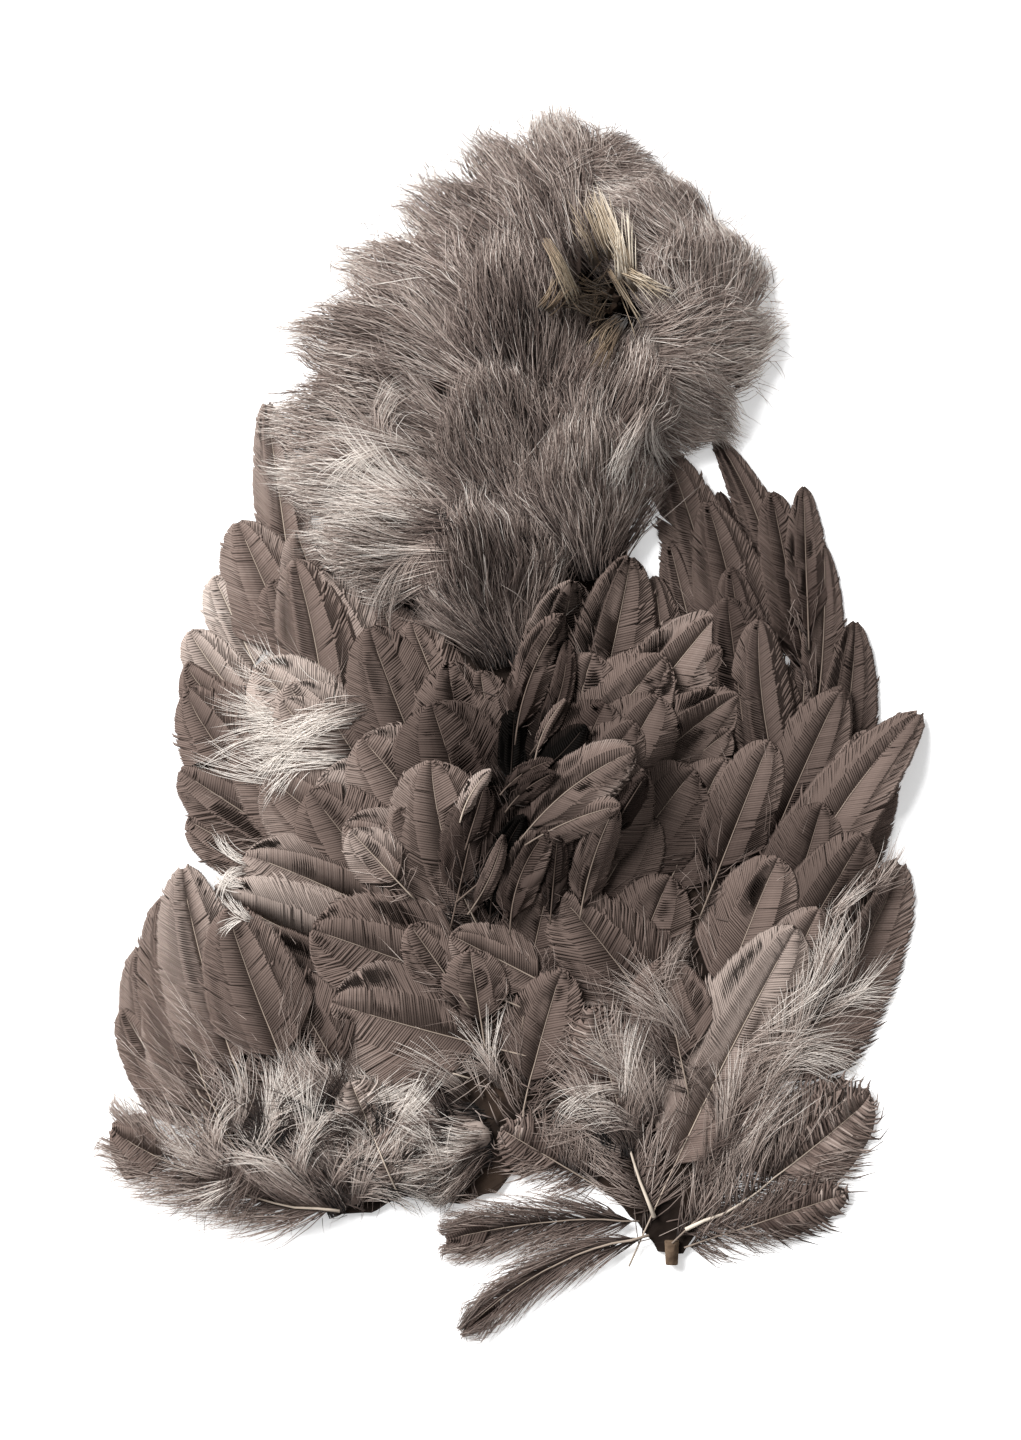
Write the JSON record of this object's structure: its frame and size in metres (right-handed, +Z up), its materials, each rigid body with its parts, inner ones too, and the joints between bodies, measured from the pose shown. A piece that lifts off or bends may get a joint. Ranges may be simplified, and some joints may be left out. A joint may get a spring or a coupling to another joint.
{
  "type": "rooster soft hackle patch",
  "caption": "Dried patch of rooster skin with its body feathers on: vaned soft hackles over the flanks and breast, loose downy plumes over the rump. Lies flat, feather side up.",
  "frame": {"origin": "on the flat flesh side of the skin, near the middle of the patch", "axes": "+Z up out of the feathers, +Y from the cut breast edge to the rump, +X to the right seen from above"},
  "size_m": [0.1645, 0.2457, 0.0266],
  "materials": {
    "skin": "dry, dull",
    "vane": "soft sheen",
    "down": "matte, fluffy"
  },
  "bodies": {
    "root": {"belly_plume_01": "down", "belly_plume_02": "down", "belly_plume_03": "down", "belly_plume_04": "down", "belly_plume_05": "down", "edge_feather_01": "vane", "edge_feather_02": "vane", "edge_feather_03": "vane", "edge_feather_04": "vane", "edge_tuft_01": "down", "edge_tuft_02": "down", "left_breast_feather_01": "vane", "left_breast_feather_02": "vane", "left_breast_feather_03": "vane", "left_breast_feather_04": "vane", "left_breast_feather_05": "vane", "left_fan_feather_01": "vane", "left_fan_feather_02": "vane", "left_fan_feather_03": "vane", "left_fan_feather_04": "vane", "left_flank_feather_01": "vane", "left_flank_feather_02": "vane", "left_flank_feather_03": "vane", "left_flank_feather_04": "vane", "left_shield_feather_01": "vane", "left_shield_feather_02": "vane", "left_shield_feather_03": "vane", "lower_breast_feather_01": "vane", "lower_breast_feather_02": "vane", "lower_breast_feather_03": "vane", "lower_breast_feather_04": "vane", "right_breast_feather_01": "vane", "right_breast_feather_02": "vane", "right_breast_feather_03": "vane", "right_breast_feather_04": "vane", "right_breast_feather_05": "vane", "right_breast_feather_06": "vane", "right_breast_feather_07": "vane", "right_flank_feather_01": "vane", "right_flank_feather_02": "vane", "right_flank_feather_03": "vane", "right_wing_feather_01": "vane", "right_wing_feather_02": "vane", "right_wing_feather_03": "vane", "right_wing_feather_04": "vane", "right_wing_feather_05": "vane", "rump_plume_01": "down", "rump_plume_02": "down", "rump_plume_03": "down", "rump_plume_04": "down", "rump_plume_05": "down", "rump_plume_06": "down", "rump_plume_07": "down", "rump_plume_08": "down", "side_plume_01": "down", "side_plume_02": "down", "side_plume_03": "down", "side_plume_04": "down", "side_plume_05": "down", "skin": "skin"}
  },
  "joints": []
}
